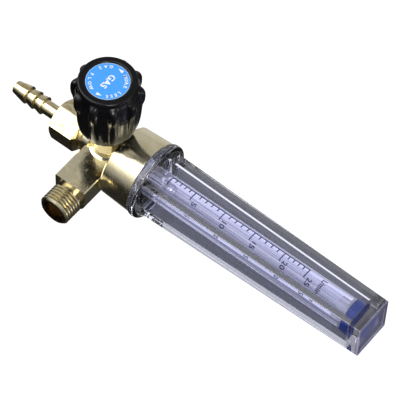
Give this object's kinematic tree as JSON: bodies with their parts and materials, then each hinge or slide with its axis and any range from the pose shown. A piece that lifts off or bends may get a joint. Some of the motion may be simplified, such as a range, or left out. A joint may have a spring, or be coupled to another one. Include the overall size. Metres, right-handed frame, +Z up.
{
  "type": "gas flow meter with needle valve",
  "caption": "Brass shielding gas flow meter with a fluted knob on its needle valve, a hose barb, a threaded inlet and a square clear sight cover over a graduated tube.",
  "frame": {"origin": "centre of the inlet thread's end face", "axes": "+X out of the inlet, +Z up along the sight cover, -Y to the front where the knob is"},
  "size_m": [0.0477, 0.0593, 0.1687],
  "materials": {
    "plated_brass": "bright-dipped and lightly tumbled brass",
    "washer_brass": "stamped brass",
    "turned_brass": "turned",
    "filter_bronze": "sintered bronze grains",
    "fibre": "pressed fibre",
    "black_rubber": "moulded nitrile rubber",
    "black_plastic": "glossy moulded ABS",
    "zinc_steel": "zinc plated",
    "blue_label": "printed film",
    "clear_cover": "clear moulded polycarbonate",
    "clear_tube": "clear drawn acrylic with printed scale",
    "white_plastic": "moulded acetal",
    "blue_silicone": "moulded silicone rubber",
    "ball_steel": "ground stainless ball"
  },
  "bodies": {
    "main": {"body": "plated_brass", "inlet_filter": "filter_bronze", "hose_barb": "plated_brass", "barb_washer": "washer_brass", "gland_nut": "plated_brass", "gland_washer": "fibre", "sight_cover": "clear_cover", "cover_o_ring": "black_rubber", "tube_seat": "turned_brass", "tube_seal_lower": "black_rubber", "flow_tube": "clear_tube", "ball_stop": "white_plastic", "tube_seal_upper": "blue_silicone"},
    "riser": {"spindle_o_ring": "black_rubber"},
    "knob": {"knob": "black_plastic", "knob_insert": "turned_brass", "screw_washer": "zinc_steel", "knob_screw": "zinc_steel", "knob_label": "blue_label", "valve_spindle": "turned_brass"},
    "float": {"float_ball": "ball_steel"}
  },
  "joints": [
    {"name": "spindle_rise", "type": "slide", "parent": "main", "child": "riser", "axis": [0, -1, 0], "range_m": [0, 0.0023]},
    {"name": "knob_turn", "type": "hinge", "parent": "riser", "child": "knob", "pos_m": [-0.032, 0, 0], "axis": [0, -1, 0], "range_deg": [0, 1080]},
    {"name": "ball_float", "type": "slide", "parent": "main", "child": "float", "axis": [0, 0, 1], "range_m": [0, 0.0755]}
  ],
  "couplings": [
    {"joint": "spindle_rise", "follows": "knob_turn", "m_per_rad": 0.00011141}
  ]
}
